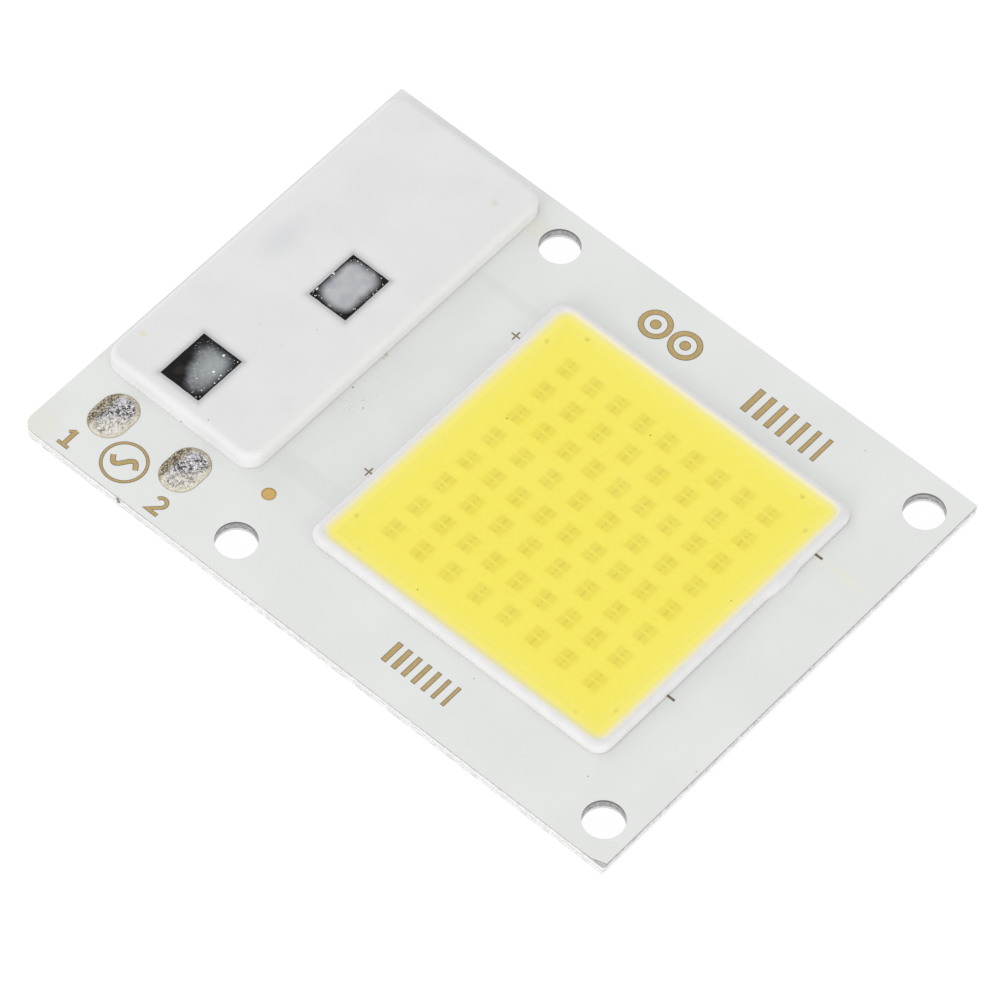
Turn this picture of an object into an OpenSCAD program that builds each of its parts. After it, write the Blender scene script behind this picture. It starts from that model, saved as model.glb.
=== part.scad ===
// Mains-driven chip-on-board LED module: an aluminium-core circuit board that
// carries a dammed, phosphor-filled field of flip-chip dies beside a potted
// rectifier and current-regulator circuit.
// The origin is the middle of the board's underside. X runs along the board,
// from the potted driver at -X to the light field at +X. +Z is the lit side.

/* [Board] */
// Length of the board
board_length = 54; // [53:0.5:60]
// Width of the board
board_width = 40; // [39:0.5:48]
// Thickness of the aluminium plate
plate_thickness = 0.8; // [0.6:0.1:3]
// Thickness of the insulating layer on the plate
dielectric_thickness = 0.1; // [0.06:0.01:0.2]
// Thickness of the copper tracks
copper_thickness = 0.07; // [0.04:0.01:0.14]
// Thickness of the white mask above the copper
mask_cover = 0.03; // [0.02:0.01:0.08]
// Radius of the board's one worn corner
worn_corner_radius = 1; // [0.5:0.1:2]
// Length along the board of the flake missing from the mask's corner
chip_length = 1.08; // [0.5:0.1:2]
// Width across the board of the flake missing from the mask's corner
chip_width = 0.36; // [0.2:0.05:1]

/* [Mounting holes] */
// Diameter of the four holes, clear of an M3 screw
hole_diameter = 3.1; // [2.6:0.1:3.5]
// Distance from the +X end of the board to the nearer holes
hole_end_margin = 2.45; // [2:0.1:3]
// Distance from the board's long edges to the holes
hole_side_margin = 2.9; // [2.5:0.1:3.2]
// Distance from the potting block to the holes beside it
hole_block_margin = 2.95; // [2.6:0.05:3.2]

/* [Wire pads] */
// Width of each solder pad
pad_width = 3.07; // [2.6:0.1:3.5]
// Length of each solder pad across the board
pad_length = 4.1; // [3.6:0.1:4.5]
// Height of the solder's crown above the mask
solder_crown = 0.25; // [0.1:0.05:0.5]
// Distance between the two pads
pad_spacing = 6.8; // [6:0.1:7.2]
// Distance from the -X end of the board to the nearer pad
pad_end_margin = 4.32; // [4:0.1:5]
// Distance from the -Y edge of the board to the pads
pad_side_margin = 4.84; // [4:0.1:5]
// Distance from the pads to the potting block
pad_block_margin = 0.76; // [0.5:0.02:1.2]

/* [Light field] */
// Distance from the +X end of the board to the dam's foot
dam_end_margin = 5.8; // [5.2:0.1:6.2]
// Distance from the board's long edges to the dam's foot
dam_side_margin = 6.35; // [6:0.05:7]
// Distance from the potting block to the dam's foot
dam_block_margin = 6.35; // [6:0.05:7]
// Width of the dam bead at its foot
bead_foot = 1.04; // [0.9:0.02:1.2]
// Height of the dam bead
bead_height = 0.75; // [0.6:0.05:0.9]
// Radius that the middle of the bead follows round a corner
dam_corner_radius = 0.66; // [0.65:0.05:1.5]
// Length of the lap where the bead's end passes its start
lap_length = 3.4; // [2:0.1:5]
// Distance that the lap swings out of the bead's line
lap_offset = 0.18; // [0.1:0.01:0.3]
// Distance of the lap from the dam's middle, across the board
lap_position = 5.8; // [2:0.1:9]
// Depth of the gel's surface below the bead's crest
gel_drop = 0.1; // [0.05:0.05:0.2]
// Rows of dies
die_rows = 8; // [4:2:8]
// Dies in the longer rows; the rows between hold one fewer
dies_per_row = 9; // [5:2:9]
// Distance from the dam's inner foot to the dies
field_margin = 2.58; // [2.4:0.02:3]
// Width of a die, along its row
die_width = 1.25; // [0.9:0.05:1.4]
// Length of a die, across its row
die_length = 1.6; // [1.2:0.05:1.8]
// Thickness of a die
die_height = 0.12; // [0.08:0.01:0.3]
// Gap between the two contacts of a die
contact_gap = 0.25; // [0.2:0.01:0.3]
// Distance from a die's edge to its contacts
contact_inset = 0.04; // [0.02:0.01:0.08]
// Distance that the rows lie off the dam's middle, towards -X
field_shift_x = 0.15; // [0:0.05:0.4]
// Distance that the rows lie off the dam's middle, towards +Y
field_shift_y = 0.12; // [0:0.02:0.3]
// Diameter of the small marks that the dies are placed by
mark_diameter = 0.36; // [0.2:0.02:0.5]
// Diameter of the round gilt fiducial beside the driver
fiducial_diameter = 1.07; // [0.8:0.05:1.5]

/* [Tracks] */
// Bare strip between the feed and the return copper above it
upper_isolation = 0.9; // [0.5:0.1:1.5]
// Bare strip between the feed and the return copper below it
lower_isolation = 1.7; // [1:0.1:2]
// Distance from the board's edges to any copper
copper_margin = 1.4; // [1:0.1:1.6]
// Clearance of the copper round a mounting hole
hole_isolation = 0.9; // [0.5:0.1:1.2]
// Width of a track inside the driver
track_width = 0.8; // [0.6:0.05:0.9]

/* [Driver] */
// Width of the potting block along the board
potting_width = 14.15; // [13.8:0.05:15]
// Height of the potting block above the mask
potting_height = 1.45; // [1.4:0.05:2]
// Radius of the potting block's upper edge
potting_edge_radius = 0.55; // [0.3:0.05:0.6]
// Radius of the potting block's corners, seen from above
potting_corner_radius = 1.4; // [1:0.1:2]
// Distance from the -X end of the board to the potting block
potting_end_margin = 0.65; // [0.5:0.05:0.9]
// Distance from the +Y edge of the board to the potting block
potting_side_margin = 1.05; // [0.6:0.05:1.3]
// Distance that the two packages stand through the top of the potting
package_proud = 0.02; // [0.01:0.01:0.1]
// Gap between a package and the mask beneath it
package_standoff = 0.1; // [0.05:0.01:0.2]
// Inward slope of a moulded package's sides, over its upper part
package_draft = 0.1; // [0.05:0.01:0.15]
// Thickness of the lead frame
lead_thickness = 0.2; // [0.15:0.01:0.25]
// Length of a lead's foot
foot_length = 0.65; // [0.5:0.05:0.75]
// Thickness of the solder between a foot and its copper land
joint_thickness = 0.05; // [0.04:0.01:0.06]

/* [Regulator package] */
// Width of the current regulator's body
regulator_width = 3.67; // [3.5:0.01:3.9]
// Length of the current regulator's body
regulator_length = 4.9; // [4.8:0.05:5.1]
// Distance between the tips of the regulator's opposite leads
regulator_span = 6; // [5.8:0.1:6.2]
// Pitch of the regulator's leads
regulator_pitch = 1.27; // [1.2:0.01:1.3]
// Width of one of the regulator's leads
regulator_lead = 0.42; // [0.3:0.02:0.5]
// Leads on each side of the regulator
regulator_leads = 4; // [2:1:4]

/* [Rectifier package] */
// Width of the bridge rectifier's body
rectifier_width = 3.85; // [3.7:0.01:4.1]
// Length of the bridge rectifier's body
rectifier_length = 4.76; // [4.6:0.02:5]
// Distance between the tips of the rectifier's opposite leads
rectifier_span = 6.6; // [6.2:0.1:7]
// Pitch of the rectifier's leads
rectifier_pitch = 2.54; // [2.4:0.01:2.6]
// Width of one of the rectifier's leads
rectifier_lead = 0.6; // [0.5:0.02:0.7]

/* [Resistors] */
// Length of a surface-mounted resistor
resistor_length = 3.2; // [3:0.1:3.4]
// Width of a surface-mounted resistor
resistor_width = 1.6; // [1.4:0.1:1.7]
// Thickness of a surface-mounted resistor
resistor_height = 0.6; // [0.5:0.05:0.9]
// Length of a resistor's end caps
cap_length = 0.5; // [0.3:0.05:0.6]
// Thickness of a resistor's end caps
cap_thickness = 0.05; // [0.03:0.01:0.08]

/* [Hidden] */
$fn = 96;

// Heights of the layers above the underside
z_plate = plate_thickness;
z_dielectric = z_plate + dielectric_thickness;
z_copper = z_dielectric + copper_thickness;
z_board = z_copper + mask_cover;
z_foot = z_copper + joint_thickness;
// Overshoot of a cutting tool past the face that it cuts
past = 0.5;

// Ends and edges of the board
end_x = board_length / 2;
side_y = board_width / 2;
sharp_corner_radius = 0.15;

// Wire pads: [neutral, live]
pad_y = pad_side_margin - side_y;
neutral_pad = [pad_end_margin - end_x, pad_y];
live_pad = [neutral_pad.x + pad_spacing, pad_y];
pad_rim = 0.3;

// Potting block, between the wire pads and the +Y edge
potting_left = potting_end_margin - end_x;
potting_right = potting_left + potting_width;
potting_near = pad_y + pad_length / 2 + pad_block_margin;
potting_far = side_y - potting_side_margin;
potting_length = potting_far - potting_near;
potting_centre = [(potting_left + potting_right) / 2, (potting_near + potting_far) / 2];
package_top = z_board + potting_height + package_proud;

// Mounting holes
hole_y = side_y - hole_side_margin;
hole_columns = [potting_right + hole_block_margin, end_x - hole_end_margin];
hole_places = [for (x = hole_columns, sy = [-1, 1]) [x, sy * hole_y]];

// Parts in the potting, by their shares of the block's width and length
function driver_place(share_x, share_y) =
    [potting_left + share_x * potting_width, potting_near + share_y * potting_length];
rectifier_place = driver_place(0.428, 0.117);
regulator_place = driver_place(0.645, 0.505);
sense_place = driver_place(0.196, 0.528);
fuse_place = driver_place(0.802, 0.107);
rectifier_foot = rectifier_span / 2 - foot_length / 2;
regulator_foot = regulator_span / 2 - foot_length / 2;
regulator_reach = regulator_leads / 2 * regulator_pitch;
cap_step = (resistor_length - cap_length) / 2;
land_rim = 0.12;

// Dam and gel
bead_radius = (pow(bead_foot / 2, 2) + pow(bead_height, 2)) / (2 * bead_height);
dam_length = end_x - dam_end_margin - potting_right - dam_block_margin;
dam_width = board_width - 2 * dam_side_margin;
dam_centre = [end_x - dam_end_margin - dam_length / 2, 0];
dam_run_x = dam_length - bead_foot;
dam_run_y = dam_width - bead_foot;
gel_height = bead_height - gel_drop;

// Field of dies
field_centre = dam_centre + [-field_shift_x, field_shift_y];
inner_half_x = dam_length / 2 - bead_foot;
inner_half_y = dam_width / 2 - bead_foot;
field_span = 2 * (inner_half_x - field_margin) - die_width;
row_pitch = (2 * (inner_half_y - field_margin) - die_length) / (die_rows - 1);
contact_width = die_width - 2 * contact_inset;
contact_length = (die_length - 2 * contact_inset - contact_gap) / 2;
contact_step = (contact_length + contact_gap) / 2;
contact_rim = 0.05;
first_x = field_centre.x - field_span / 2;
last_x = field_centre.x + field_span / 2;
function dies_in_row(row) = dies_per_row - row % 2;
function row_y(row) = field_centre.y + ((die_rows - 1) / 2 - row) * row_pitch;
function die_x(row, die) = first_x + die * field_span / (dies_in_row(row) - 1);
// +1 where current enters a die by its upper contact, -1 by its lower one
function entry_side(row, die) = (row + die) % 2 == 0 ? 1 : -1;

// Marks that the dies are placed by, two at each corner of the field
mark_margin = 0.5;
mark_inset = 2.53;
mark_steps = [[mark_margin, mark_inset], [mark_inset, mark_margin]];
mark_places = [for (sx = [-1, 1], sy = [-1, 1], step = mark_steps)
    field_centre + [sx * (inner_half_x - step.x), sy * (inner_half_y - step.y)]];
mark_isolation = 0.2;
fiducial_block_margin = 2;
fiducial_hole_step = 4.39;
fiducial_place = [potting_right + fiducial_block_margin, fiducial_hole_step - hole_y];

// Edges of the large coppers
feed_rim = 0.75;
feed_rise = 0.21;
feed_top = row_y(0) + die_length / 2 + feed_rim;
feed_bottom = row_y(die_rows - 1) + feed_rise;
bus_gap = 0.5;
supply_bus_x = first_x - contact_width / 2 - bus_gap;
return_bus_x = last_x + contact_width / 2 + bus_gap;
bus_width = 1.6;
drain_x = regulator_place.x + regulator_foot;
drain_gap = 0.7;
feed_left = drain_x + foot_length / 2 + land_rim + drain_gap;
return_left = fiducial_place.x + fiducial_diameter / 2 + copper_margin;
return_x = end_x - copper_margin;
return_y = side_y - copper_margin;

// ---- Shapes used more than once ----

// Rectangle between two opposite corners
module area(from, to) {
    translate([min(from.x, to.x), min(from.y, to.y)])
        square([abs(to.x - from.x), abs(to.y - from.y)]);
}

// Straight track along a row or a column, between two places, with square ends
module track(from, to, width = track_width) {
    area([min(from.x, to.x) - width / 2, min(from.y, to.y) - width / 2],
         [max(from.x, to.x) + width / 2, max(from.y, to.y) + width / 2]);
}

// Waste outside a rounded corner at the origin of a quarter turned by turn
module corner_waste(radius, turn) {
    rotate(turn) difference() {
        translate([-past, -past]) square(radius + past);
        translate([radius, radius]) circle(radius);
    }
}

module board_outline() {
    difference() {
        square([board_length, board_width], center = true);
        translate([-end_x, -side_y]) corner_waste(worn_corner_radius, 0);
        translate([end_x, -side_y]) corner_waste(sharp_corner_radius, 90);
        translate([end_x, side_y]) corner_waste(sharp_corner_radius, 180);
        translate([-end_x, side_y]) corner_waste(sharp_corner_radius, 270);
    }
}

module mounting_holes(z_low, z_high, diameter = hole_diameter) {
    for (place = hole_places)
        translate([place.x, place.y, z_low - past])
            cylinder(h = z_high - z_low + 2 * past, d = diameter);
}

// Flake broken out of the mask at the corner where the board was dropped
module corner_flake(z_low) {
    translate([end_x, -side_y, z_low])
        linear_extrude(past + 1)
            polygon([[past, -past], [-chip_length - past, -past], [-chip_length, 0],
                     [-chip_length * 0.45, chip_width * 0.55], [0, chip_width], [past, chip_width]]);
}

// Copper layer made of a flat shape
module copper_layer() {
    color("darkgoldenrod")
        translate([0, 0, z_dielectric])
            linear_extrude(copper_thickness)
                children();
}

// Pad outline: a slot with round ends, lengthwise across the board
module pad_outline(rim = 0) {
    straight = pad_length - pad_width;
    for (side = [-1, 1])
        translate([0, side * straight / 2]) circle(d = pad_width + 2 * rim);
    square([pad_width + 2 * rim, straight], center = true);
}

// ---- Copper shapes ----

module live_net() {
    turn = [fuse_place.x, live_pad.y];
    translate(live_pad) pad_outline(pad_rim);
    track(live_pad, turn);
    track(turn, [fuse_place.x, fuse_place.y - cap_step]);
    resistor_land(fuse_place, -1);
}

module fused_live_net() {
    lead_land(rectifier_place, rectifier_foot, rectifier_pitch, 2, rectifier_lead, 1, 1);
    track([rectifier_place.x + rectifier_foot, rectifier_place.y + rectifier_pitch / 2],
          [fuse_place.x, rectifier_place.y + rectifier_pitch / 2]);
    area([fuse_place.x - resistor_width / 2, rectifier_place.y + rectifier_pitch / 2],
         [fuse_place.x + resistor_width / 2, fuse_place.y + cap_step - cap_length / 2]);
    resistor_land(fuse_place, 1);
}

module neutral_net() {
    pin = rectifier_place + [rectifier_foot, -rectifier_pitch / 2];
    cross_y = rectifier_place.y - rectifier_length / 2 - track_width;
    translate(neutral_pad) pad_outline(pad_rim);
    track(neutral_pad, [neutral_pad.x, cross_y]);
    track([neutral_pad.x, cross_y], [pin.x, cross_y]);
    track([pin.x, cross_y], pin);
    lead_land(rectifier_place, rectifier_foot, rectifier_pitch, 2, rectifier_lead, 1, 0);
}

module supply_net() {
    pin = rectifier_place + [-rectifier_foot, rectifier_pitch / 2];
    cross_y = rectifier_place.y + rectifier_length / 2 + 2.5 * track_width;
    difference() {
        union() {
            lead_land(rectifier_place, rectifier_foot, rectifier_pitch, 2, rectifier_lead, -1, 1);
            track(pin, [pin.x, cross_y]);
            track([pin.x, cross_y], [feed_left + track_width, cross_y]);
            area([feed_left, feed_bottom], [supply_bus_x, feed_top]);
            area([supply_bus_x - bus_width, row_y(die_rows - 1) - contact_step - contact_length],
                 [supply_bus_x, feed_top]);
            for (row = [0:die_rows - 1])
                contact_land(row, 0, entry_side(row, 0), supply_bus_x - bus_width / 2);
        }
        mark_clearance();
    }
}

module return_net() {
    difference() {
        union() {
            area([drain_x - track_width, feed_top + upper_isolation], [return_x, return_y]);
            area([return_bus_x, -return_y], [return_x, return_y]);
            area([return_left, -return_y], [return_x, feed_bottom - lower_isolation]);
            area([drain_x - foot_length / 2 - land_rim, regulator_place.y - regulator_reach],
                 [drain_x + foot_length / 2 + land_rim, feed_top + upper_isolation + track_width]);
            for (row = [0:die_rows - 1])
                let (last = dies_in_row(row) - 1)
                    contact_land(row, last, -entry_side(row, last), return_bus_x + bus_width / 2);
        }
        mark_clearance();
        for (place = hole_places)
            translate(place) circle(d = hole_diameter + 2 * hole_isolation);
    }
}

module ground_net() {
    pin = rectifier_place + [-rectifier_foot, -rectifier_pitch / 2];
    edge_x = sense_place.x - resistor_width / 2 - track_width / 2;
    cap_y = sense_place.y - cap_step;
    track([edge_x, pin.y], pin);
    track([edge_x, pin.y], [edge_x, cap_y]);
    track([edge_x, cap_y], [sense_place.x, cap_y]);
    lead_land(rectifier_place, rectifier_foot, rectifier_pitch, 2, rectifier_lead, -1, 0);
    resistor_land(sense_place, -1);
}

module sense_net() {
    land_x = regulator_place.x - regulator_foot;
    cap_y = sense_place.y + cap_step;
    track([sense_place.x, cap_y], [land_x, cap_y]);
    resistor_land(sense_place, 1);
    area([land_x - foot_length / 2 - land_rim, regulator_place.y - regulator_reach],
         [land_x + foot_length / 2 + land_rim, max(regulator_place.y + regulator_reach, cap_y)]);
}

// Short coppers that pass the current from one die of a row to the next
module link_net() {
    for (row = [0:die_rows - 1], die = [0:dies_in_row(row) - 2])
        contact_land(row, die, -entry_side(row, die), die_x(row, die + 1));
}

// Copper under one contact of a die, carried on to to_x
module contact_land(row, die, side, to_x) {
    x = die_x(row, die);
    reach = to_x > supply_bus_x && to_x < return_bus_x ? contact_width / 2 + contact_rim : 0;
    half = contact_width / 2 + contact_rim;
    y = row_y(row) + side * contact_step;
    area([min(x - half, to_x - reach), y - contact_length / 2 - contact_rim],
         [max(x + half, to_x + reach), y + contact_length / 2 + contact_rim]);
}

module mark_clearance() {
    for (place = mark_places)
        translate(place) circle(d = mark_diameter + 2 * mark_isolation);
}

// Land under one foot of a two-sided package: side -1 or +1, lead counted upwards
module lead_land(place, foot, pitch, leads, width, side, lead) {
    translate(place + [side * foot, (lead - (leads - 1) / 2) * pitch])
        square([foot_length + 2 * land_rim, width + 2 * land_rim], center = true);
}

// Land under one end of a resistor that lies across the board
module resistor_land(place, side) {
    translate(place + [0, side * cap_step])
        square([resistor_width + 2 * land_rim, cap_length + 2 * land_rim], center = true);
}

module copper_nets() {
    live_net();
    fused_live_net();
    neutral_net();
    supply_net();
    return_net();
    ground_net();
    sense_net();
    link_net();
}

// ---- Board ----

module aluminium_base() {
    color("silver")
        difference() {
            linear_extrude(plate_thickness) board_outline();
            mounting_holes(0, z_plate);
        }
}

module dielectric_layer() {
    color("lightgray")
        difference() {
            translate([0, 0, z_plate]) linear_extrude(dielectric_thickness) board_outline();
            mounting_holes(z_plate, z_dielectric);
            corner_flake(z_plate - past);
        }
}

module solder_mask() {
    color("white")
        difference() {
            translate([0, 0, z_dielectric]) linear_extrude(z_board - z_dielectric) board_outline();
            mounting_holes(z_dielectric, z_board);
            corner_flake(z_dielectric - past);
            translate([0, 0, z_dielectric - past]) linear_extrude(copper_thickness + past) copper_nets();
            mask_openings();
        }
}

module mask_openings() {
    translate([0, 0, z_dielectric - past])
        linear_extrude(z_board - z_dielectric + 2 * past) {
            for (pad = [live_pad, neutral_pad])
                translate(pad) pad_outline();
            translate(fiducial_place) circle(d = fiducial_diameter);
            for (place = mark_places)
                translate(place) circle(d = mark_diameter);
            contact_outlines();
            joint_outlines();
        }
}

module fiducial_pad() {
    copper_layer() translate(fiducial_place) circle(d = fiducial_diameter);
}

module die_bond_marks() {
    color("goldenrod")
        translate([0, 0, z_dielectric])
            linear_extrude(z_board - z_dielectric)
                for (place = mark_places)
                    translate(place) circle(d = mark_diameter);
}

// Half of the solder's section: a flat foot in the mask, then a crown
module solder_half_section(half_width) {
    crown_radius = (pow(half_width, 2) + pow(solder_crown, 2)) / (2 * solder_crown);
    intersection() {
        union() {
            square([half_width, mask_cover]);
            intersection() {
                translate([0, mask_cover + solder_crown - crown_radius]) circle(crown_radius, $fn = 360);
                translate([0, mask_cover]) square([half_width, solder_crown + past]);
            }
        }
        square([half_width, mask_cover + solder_crown]);
    }
}

// Solder flowed over one wire pad
module solder_pad(place) {
    straight = pad_length - pad_width;
    color("lightsteelblue")
        translate([place.x, place.y, z_copper]) {
            for (side = [-1, 1])
                translate([0, side * straight / 2, 0])
                    rotate_extrude() solder_half_section(pad_width / 2);
            for (turn = [0, 1])
                mirror([turn, 0, 0])
                    translate([0, straight / 2, 0])
                        rotate([90, 0, 0])
                            linear_extrude(straight) solder_half_section(pad_width / 2);
        }
}

// ---- Driver ----

// Body of a moulded package: drafted above and below a straight band
module package_section(width, height) {
    half = width / 2;
    band_low = (height - lead_thickness) * 0.4;
    band_high = band_low + lead_thickness;
    lower_draft = package_draft * band_low / (height - band_high);
    polygon([[-half + lower_draft, 0], [half - lower_draft, 0], [half, band_low], [half, band_high],
             [half - package_draft, height], [-half + package_draft, height], [-half, band_high],
             [-half, band_low]]);
}

module package_body(place, width, length) {
    height = package_top - z_board - package_standoff;
    translate([place.x, place.y, z_board + package_standoff])
        intersection() {
            translate([0, length / 2, 0])
                rotate([90, 0, 0]) linear_extrude(length) package_section(width, height);
            translate([-width / 2, 0, 0])
                rotate([90, 0, 90]) linear_extrude(width) package_section(length, height);
        }
}

// One lead that leaves the body's band, turns down and ends in a flat foot
module gull_lead(half_body, tip, width) {
    height = package_top - z_board - package_standoff;
    band_low = z_board + package_standoff + (height - lead_thickness) * 0.4;
    heel = tip - foot_length;
    translate([0, width / 2, 0])
        rotate([90, 0, 0])
            linear_extrude(width)
                polygon([[half_body, band_low], [heel, band_low], [heel, z_foot], [tip, z_foot],
                         [tip, z_foot + lead_thickness], [heel + lead_thickness, z_foot + lead_thickness],
                         [heel + lead_thickness, band_low + lead_thickness],
                         [half_body, band_low + lead_thickness]]);
}

module package_leads(place, width, span, pitch, leads, lead_width) {
    translate([place.x, place.y, 0])
        for (turn = [0, 180], lead = [0:leads - 1])
            rotate(turn)
                translate([0, (lead - (leads - 1) / 2) * pitch, 0])
                    gull_lead(width / 2, span / 2, lead_width);
}

module rectifier_body() {
    color("dimgray") package_body(rectifier_place, rectifier_width, rectifier_length);
}

module rectifier_leads() {
    color("silver")
        package_leads(rectifier_place, rectifier_width, rectifier_span, rectifier_pitch, 2, rectifier_lead);
}

module regulator_body() {
    color("dimgray") package_body(regulator_place, regulator_width, regulator_length);
}

module regulator_leads() {
    color("silver")
        package_leads(regulator_place, regulator_width, regulator_span, regulator_pitch, regulator_leads,
                      regulator_lead);
}

// Ceramic core of a resistor that lies across the board
module resistor_body(place) {
    color("ivory")
        translate([place.x, place.y, z_foot + cap_thickness + (resistor_height - 2 * cap_thickness) / 2])
            cube([resistor_width - 2 * cap_thickness, resistor_length - 2 * cap_thickness,
                  resistor_height - 2 * cap_thickness], center = true);
}

// The two metal caps that wrap a resistor's ends
module resistor_caps(place) {
    color("silver")
        difference() {
            for (side = [-1, 1])
                translate([place.x, place.y + side * cap_step, z_foot + resistor_height / 2])
                    cube([resistor_width, cap_length, resistor_height], center = true);
            resistor_body(place);
        }
}

// Outlines of the solder under every foot and cap
module joint_outlines() {
    rim = land_rim / 2;
    for (side = [-1, 1]) {
        for (lead = [-1, 1])
            translate(rectifier_place + [side * rectifier_foot, lead * rectifier_pitch / 2])
                square([foot_length + 2 * rim, rectifier_lead + 2 * rim], center = true);
        for (lead = [0:regulator_leads - 1])
            translate(regulator_place
                      + [side * regulator_foot, (lead - (regulator_leads - 1) / 2) * regulator_pitch])
                square([foot_length + 2 * rim, regulator_lead + 2 * rim], center = true);
        for (place = [sense_place, fuse_place])
            translate(place + [0, side * cap_step])
                square([resistor_width + 2 * rim, cap_length + 2 * rim], center = true);
    }
}

module component_solder() {
    color("lightsteelblue")
        translate([0, 0, z_copper]) linear_extrude(joint_thickness) joint_outlines();
}

// Block with a quarter-round upper edge and round corners
module crowned_block(width, length, height) {
    for (sx = [-1, 1], sy = [-1, 1])
        translate([sx * (width / 2 - potting_corner_radius), sy * (length / 2 - potting_corner_radius), 0])
            rotate_extrude()
                intersection() {
                    crowned_section(2 * potting_corner_radius, height);
                    square([potting_corner_radius, height]);
                }
    translate([0, length / 2 - potting_corner_radius, 0])
        rotate([90, 0, 0])
            linear_extrude(length - 2 * potting_corner_radius) crowned_section(width, height);
    translate([potting_corner_radius - width / 2, 0, 0])
        rotate([90, 0, 90])
            linear_extrude(width - 2 * potting_corner_radius) crowned_section(length, height);
}

module crowned_section(width, height) {
    shoulder = width / 2 - potting_edge_radius;
    area([-width / 2, 0], [width / 2, height - potting_edge_radius]);
    area([-shoulder, 0], [shoulder, height]);
    for (side = [-1, 1])
        translate([side * shoulder, height - potting_edge_radius]) circle(potting_edge_radius);
}

module potting_block() {
    color("whitesmoke")
        difference() {
            translate([potting_centre.x, potting_centre.y, z_board])
                crowned_block(potting_width, potting_length, potting_height);
            rectifier_body();
            rectifier_leads();
            regulator_body();
            regulator_leads();
            for (place = [sense_place, fuse_place]) {
                resistor_body(place);
                resistor_caps(place);
            }
            component_solder();
        }
}

// ---- Light field ----

module contact_outlines() {
    for (row = [0:die_rows - 1], die = [0:dies_in_row(row) - 1], side = [-1, 1])
        translate([die_x(row, die), row_y(row) + side * contact_step])
            square([contact_width, contact_length], center = true);
}

module die_contacts() {
    color("gold")
        translate([0, 0, z_copper]) linear_extrude(mask_cover) contact_outlines();
}

module led_row(row) {
    color("khaki")
        for (die = [0:dies_in_row(row) - 1])
            translate([die_x(row, die) - die_width / 2, row_y(row) - die_length / 2, z_board])
                cube([die_width, die_length, die_height]);
}

// Section of the bead: a circle cut off at the mask
module bead_section() {
    intersection() {
        translate([0, bead_height - bead_radius]) circle(bead_radius);
        area([-bead_radius - past, 0], [bead_radius + past, bead_height + past]);
    }
}

// Straight bead along Y
module bead_run(length) {
    translate([0, length / 2, 0])
        rotate([90, 0, 0]) linear_extrude(length) bead_section();
}

module dam_ring() {
    straight_x = dam_run_x - 2 * dam_corner_radius;
    straight_y = dam_run_y - 2 * dam_corner_radius;
    color("snow")
        translate([dam_centre.x, dam_centre.y, z_board]) {
            for (side = [-1, 1]) {
                translate([side * dam_run_x / 2, 0, 0]) bead_run(straight_y);
                translate([0, side * dam_run_y / 2, 0]) rotate(90) bead_run(straight_x);
            }
            for (turn = [0:3])
                translate([(turn == 0 || turn == 3 ? 1 : -1) * straight_x / 2,
                           (turn < 2 ? 1 : -1) * straight_y / 2, 0])
                    rotate(90 * turn)
                        rotate_extrude(angle = 90)
                            translate([dam_corner_radius, 0]) bead_section();
            translate([dam_run_x / 2, lap_position, 0]) bead_lap();
        }
}

// Lap where the bead's end was laid past its start: it swings out along an arc and back
module bead_lap() {
    swing_radius = (pow(lap_length / 2, 2) + pow(lap_offset, 2)) / (2 * lap_offset);
    half_turn = asin(lap_length / 2 / swing_radius);
    translate([lap_offset - swing_radius, 0, 0])
        rotate(-half_turn)
            rotate_extrude(angle = 2 * half_turn)
                translate([swing_radius, 0]) bead_section();
}

module phosphor_gel() {
    color("yellow")
        difference() {
            translate([dam_centre.x - dam_run_x / 2, dam_centre.y - dam_run_y / 2, z_board])
                cube([dam_run_x, dam_run_y, gel_height]);
            gel_corner_waste();
            dam_ring();
            for (row = [0:die_rows - 1])
                led_row(row);
        }
}

// What the square gel blank has outside the dam's round corners
module gel_corner_waste() {
    translate([dam_centre.x, dam_centre.y, z_board - past])
        for (turn = [0:3])
            translate([(turn == 0 || turn == 3 ? -1 : 1) * dam_run_x / 2,
                       (turn < 2 ? -1 : 1) * dam_run_y / 2, 0])
                linear_extrude(gel_height + 2 * past) corner_waste(dam_corner_radius, 90 * turn);
}

aluminium_base();
dielectric_layer();
copper_layer() live_net();  // live_copper
copper_layer() fused_live_net();  // fused_live_copper
copper_layer() neutral_net();  // neutral_copper
copper_layer() supply_net();  // supply_copper
copper_layer() return_net();  // return_copper
copper_layer() ground_net();  // ground_copper
copper_layer() sense_net();  // sense_copper
copper_layer() link_net();  // die_link_copper
fiducial_pad();
die_bond_marks();
solder_mask();
solder_pad(live_pad);  // live_solder_pad
solder_pad(neutral_pad);  // neutral_solder_pad
component_solder();
rectifier_body();
rectifier_leads();
regulator_body();
regulator_leads();
resistor_body(sense_place);  // sense_resistor_body
resistor_caps(sense_place);  // sense_resistor_caps
resistor_body(fuse_place);  // fuse_resistor_body
resistor_caps(fuse_place);  // fuse_resistor_caps
die_contacts();
for (row = [0:die_rows - 1])
    led_row(row);
dam_ring();
phosphor_gel();
potting_block();
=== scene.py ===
import math

import bpy
from mathutils import Matrix, Vector, noise
from random import Random


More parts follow.
